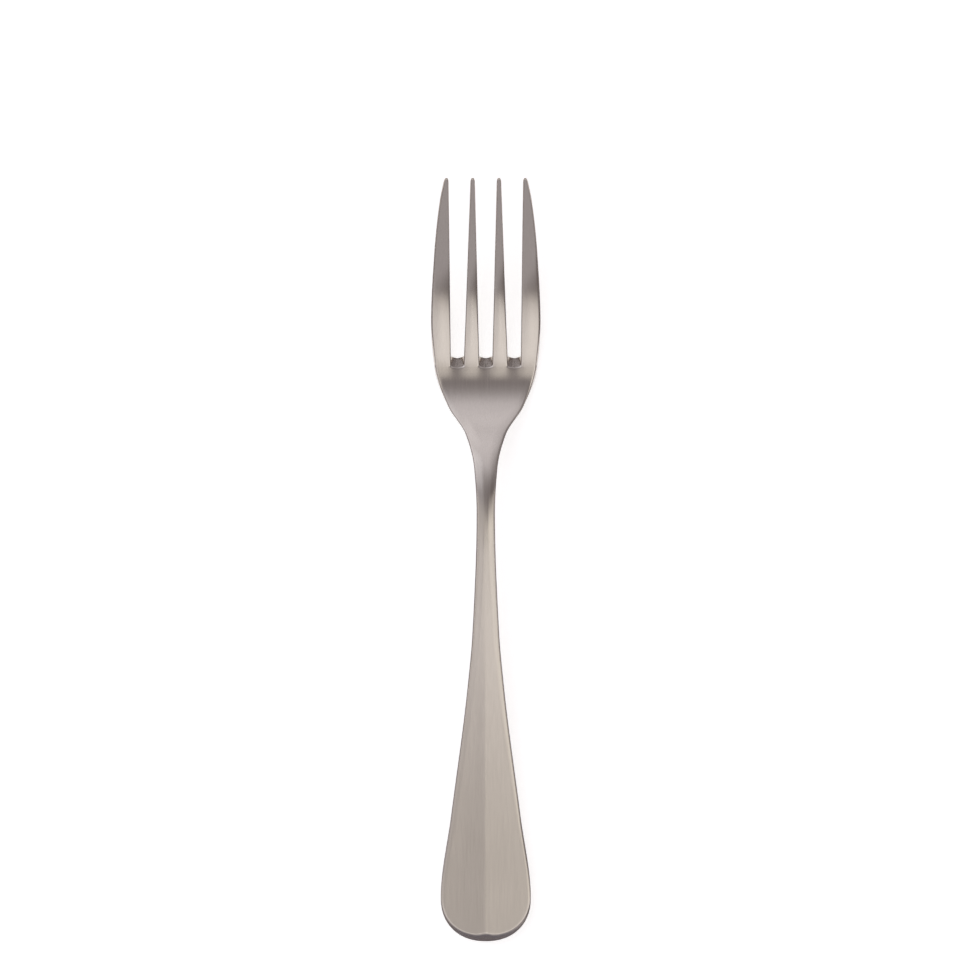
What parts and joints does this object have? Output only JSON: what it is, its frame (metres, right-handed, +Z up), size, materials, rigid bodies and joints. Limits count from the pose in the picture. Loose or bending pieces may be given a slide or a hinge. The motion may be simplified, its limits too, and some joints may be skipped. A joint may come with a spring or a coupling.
{
  "type": "dessert fork",
  "caption": "Stainless steel dessert fork with slim curved tines, a flared head, a slender neck and a broad ridged handle with a rounded end, for eating cake, fruit and other small dishes.",
  "frame": {"origin": "on the table, under the middle of the fork's box, with the fork lying face up", "axes": "+Y along the fork towards the tips, +X across it to the right, +Z up from the table"},
  "size_m": [0.026, 0.182, 0.017],
  "materials": {
    "steel": "satin, brushed lengthwise"
  },
  "bodies": {
    "root": {"handle": "steel", "neck": "steel", "head": "steel", "tine_left_outer": "steel", "tine_left_inner": "steel", "tine_right_inner": "steel", "tine_right_outer": "steel"}
  },
  "joints": []
}
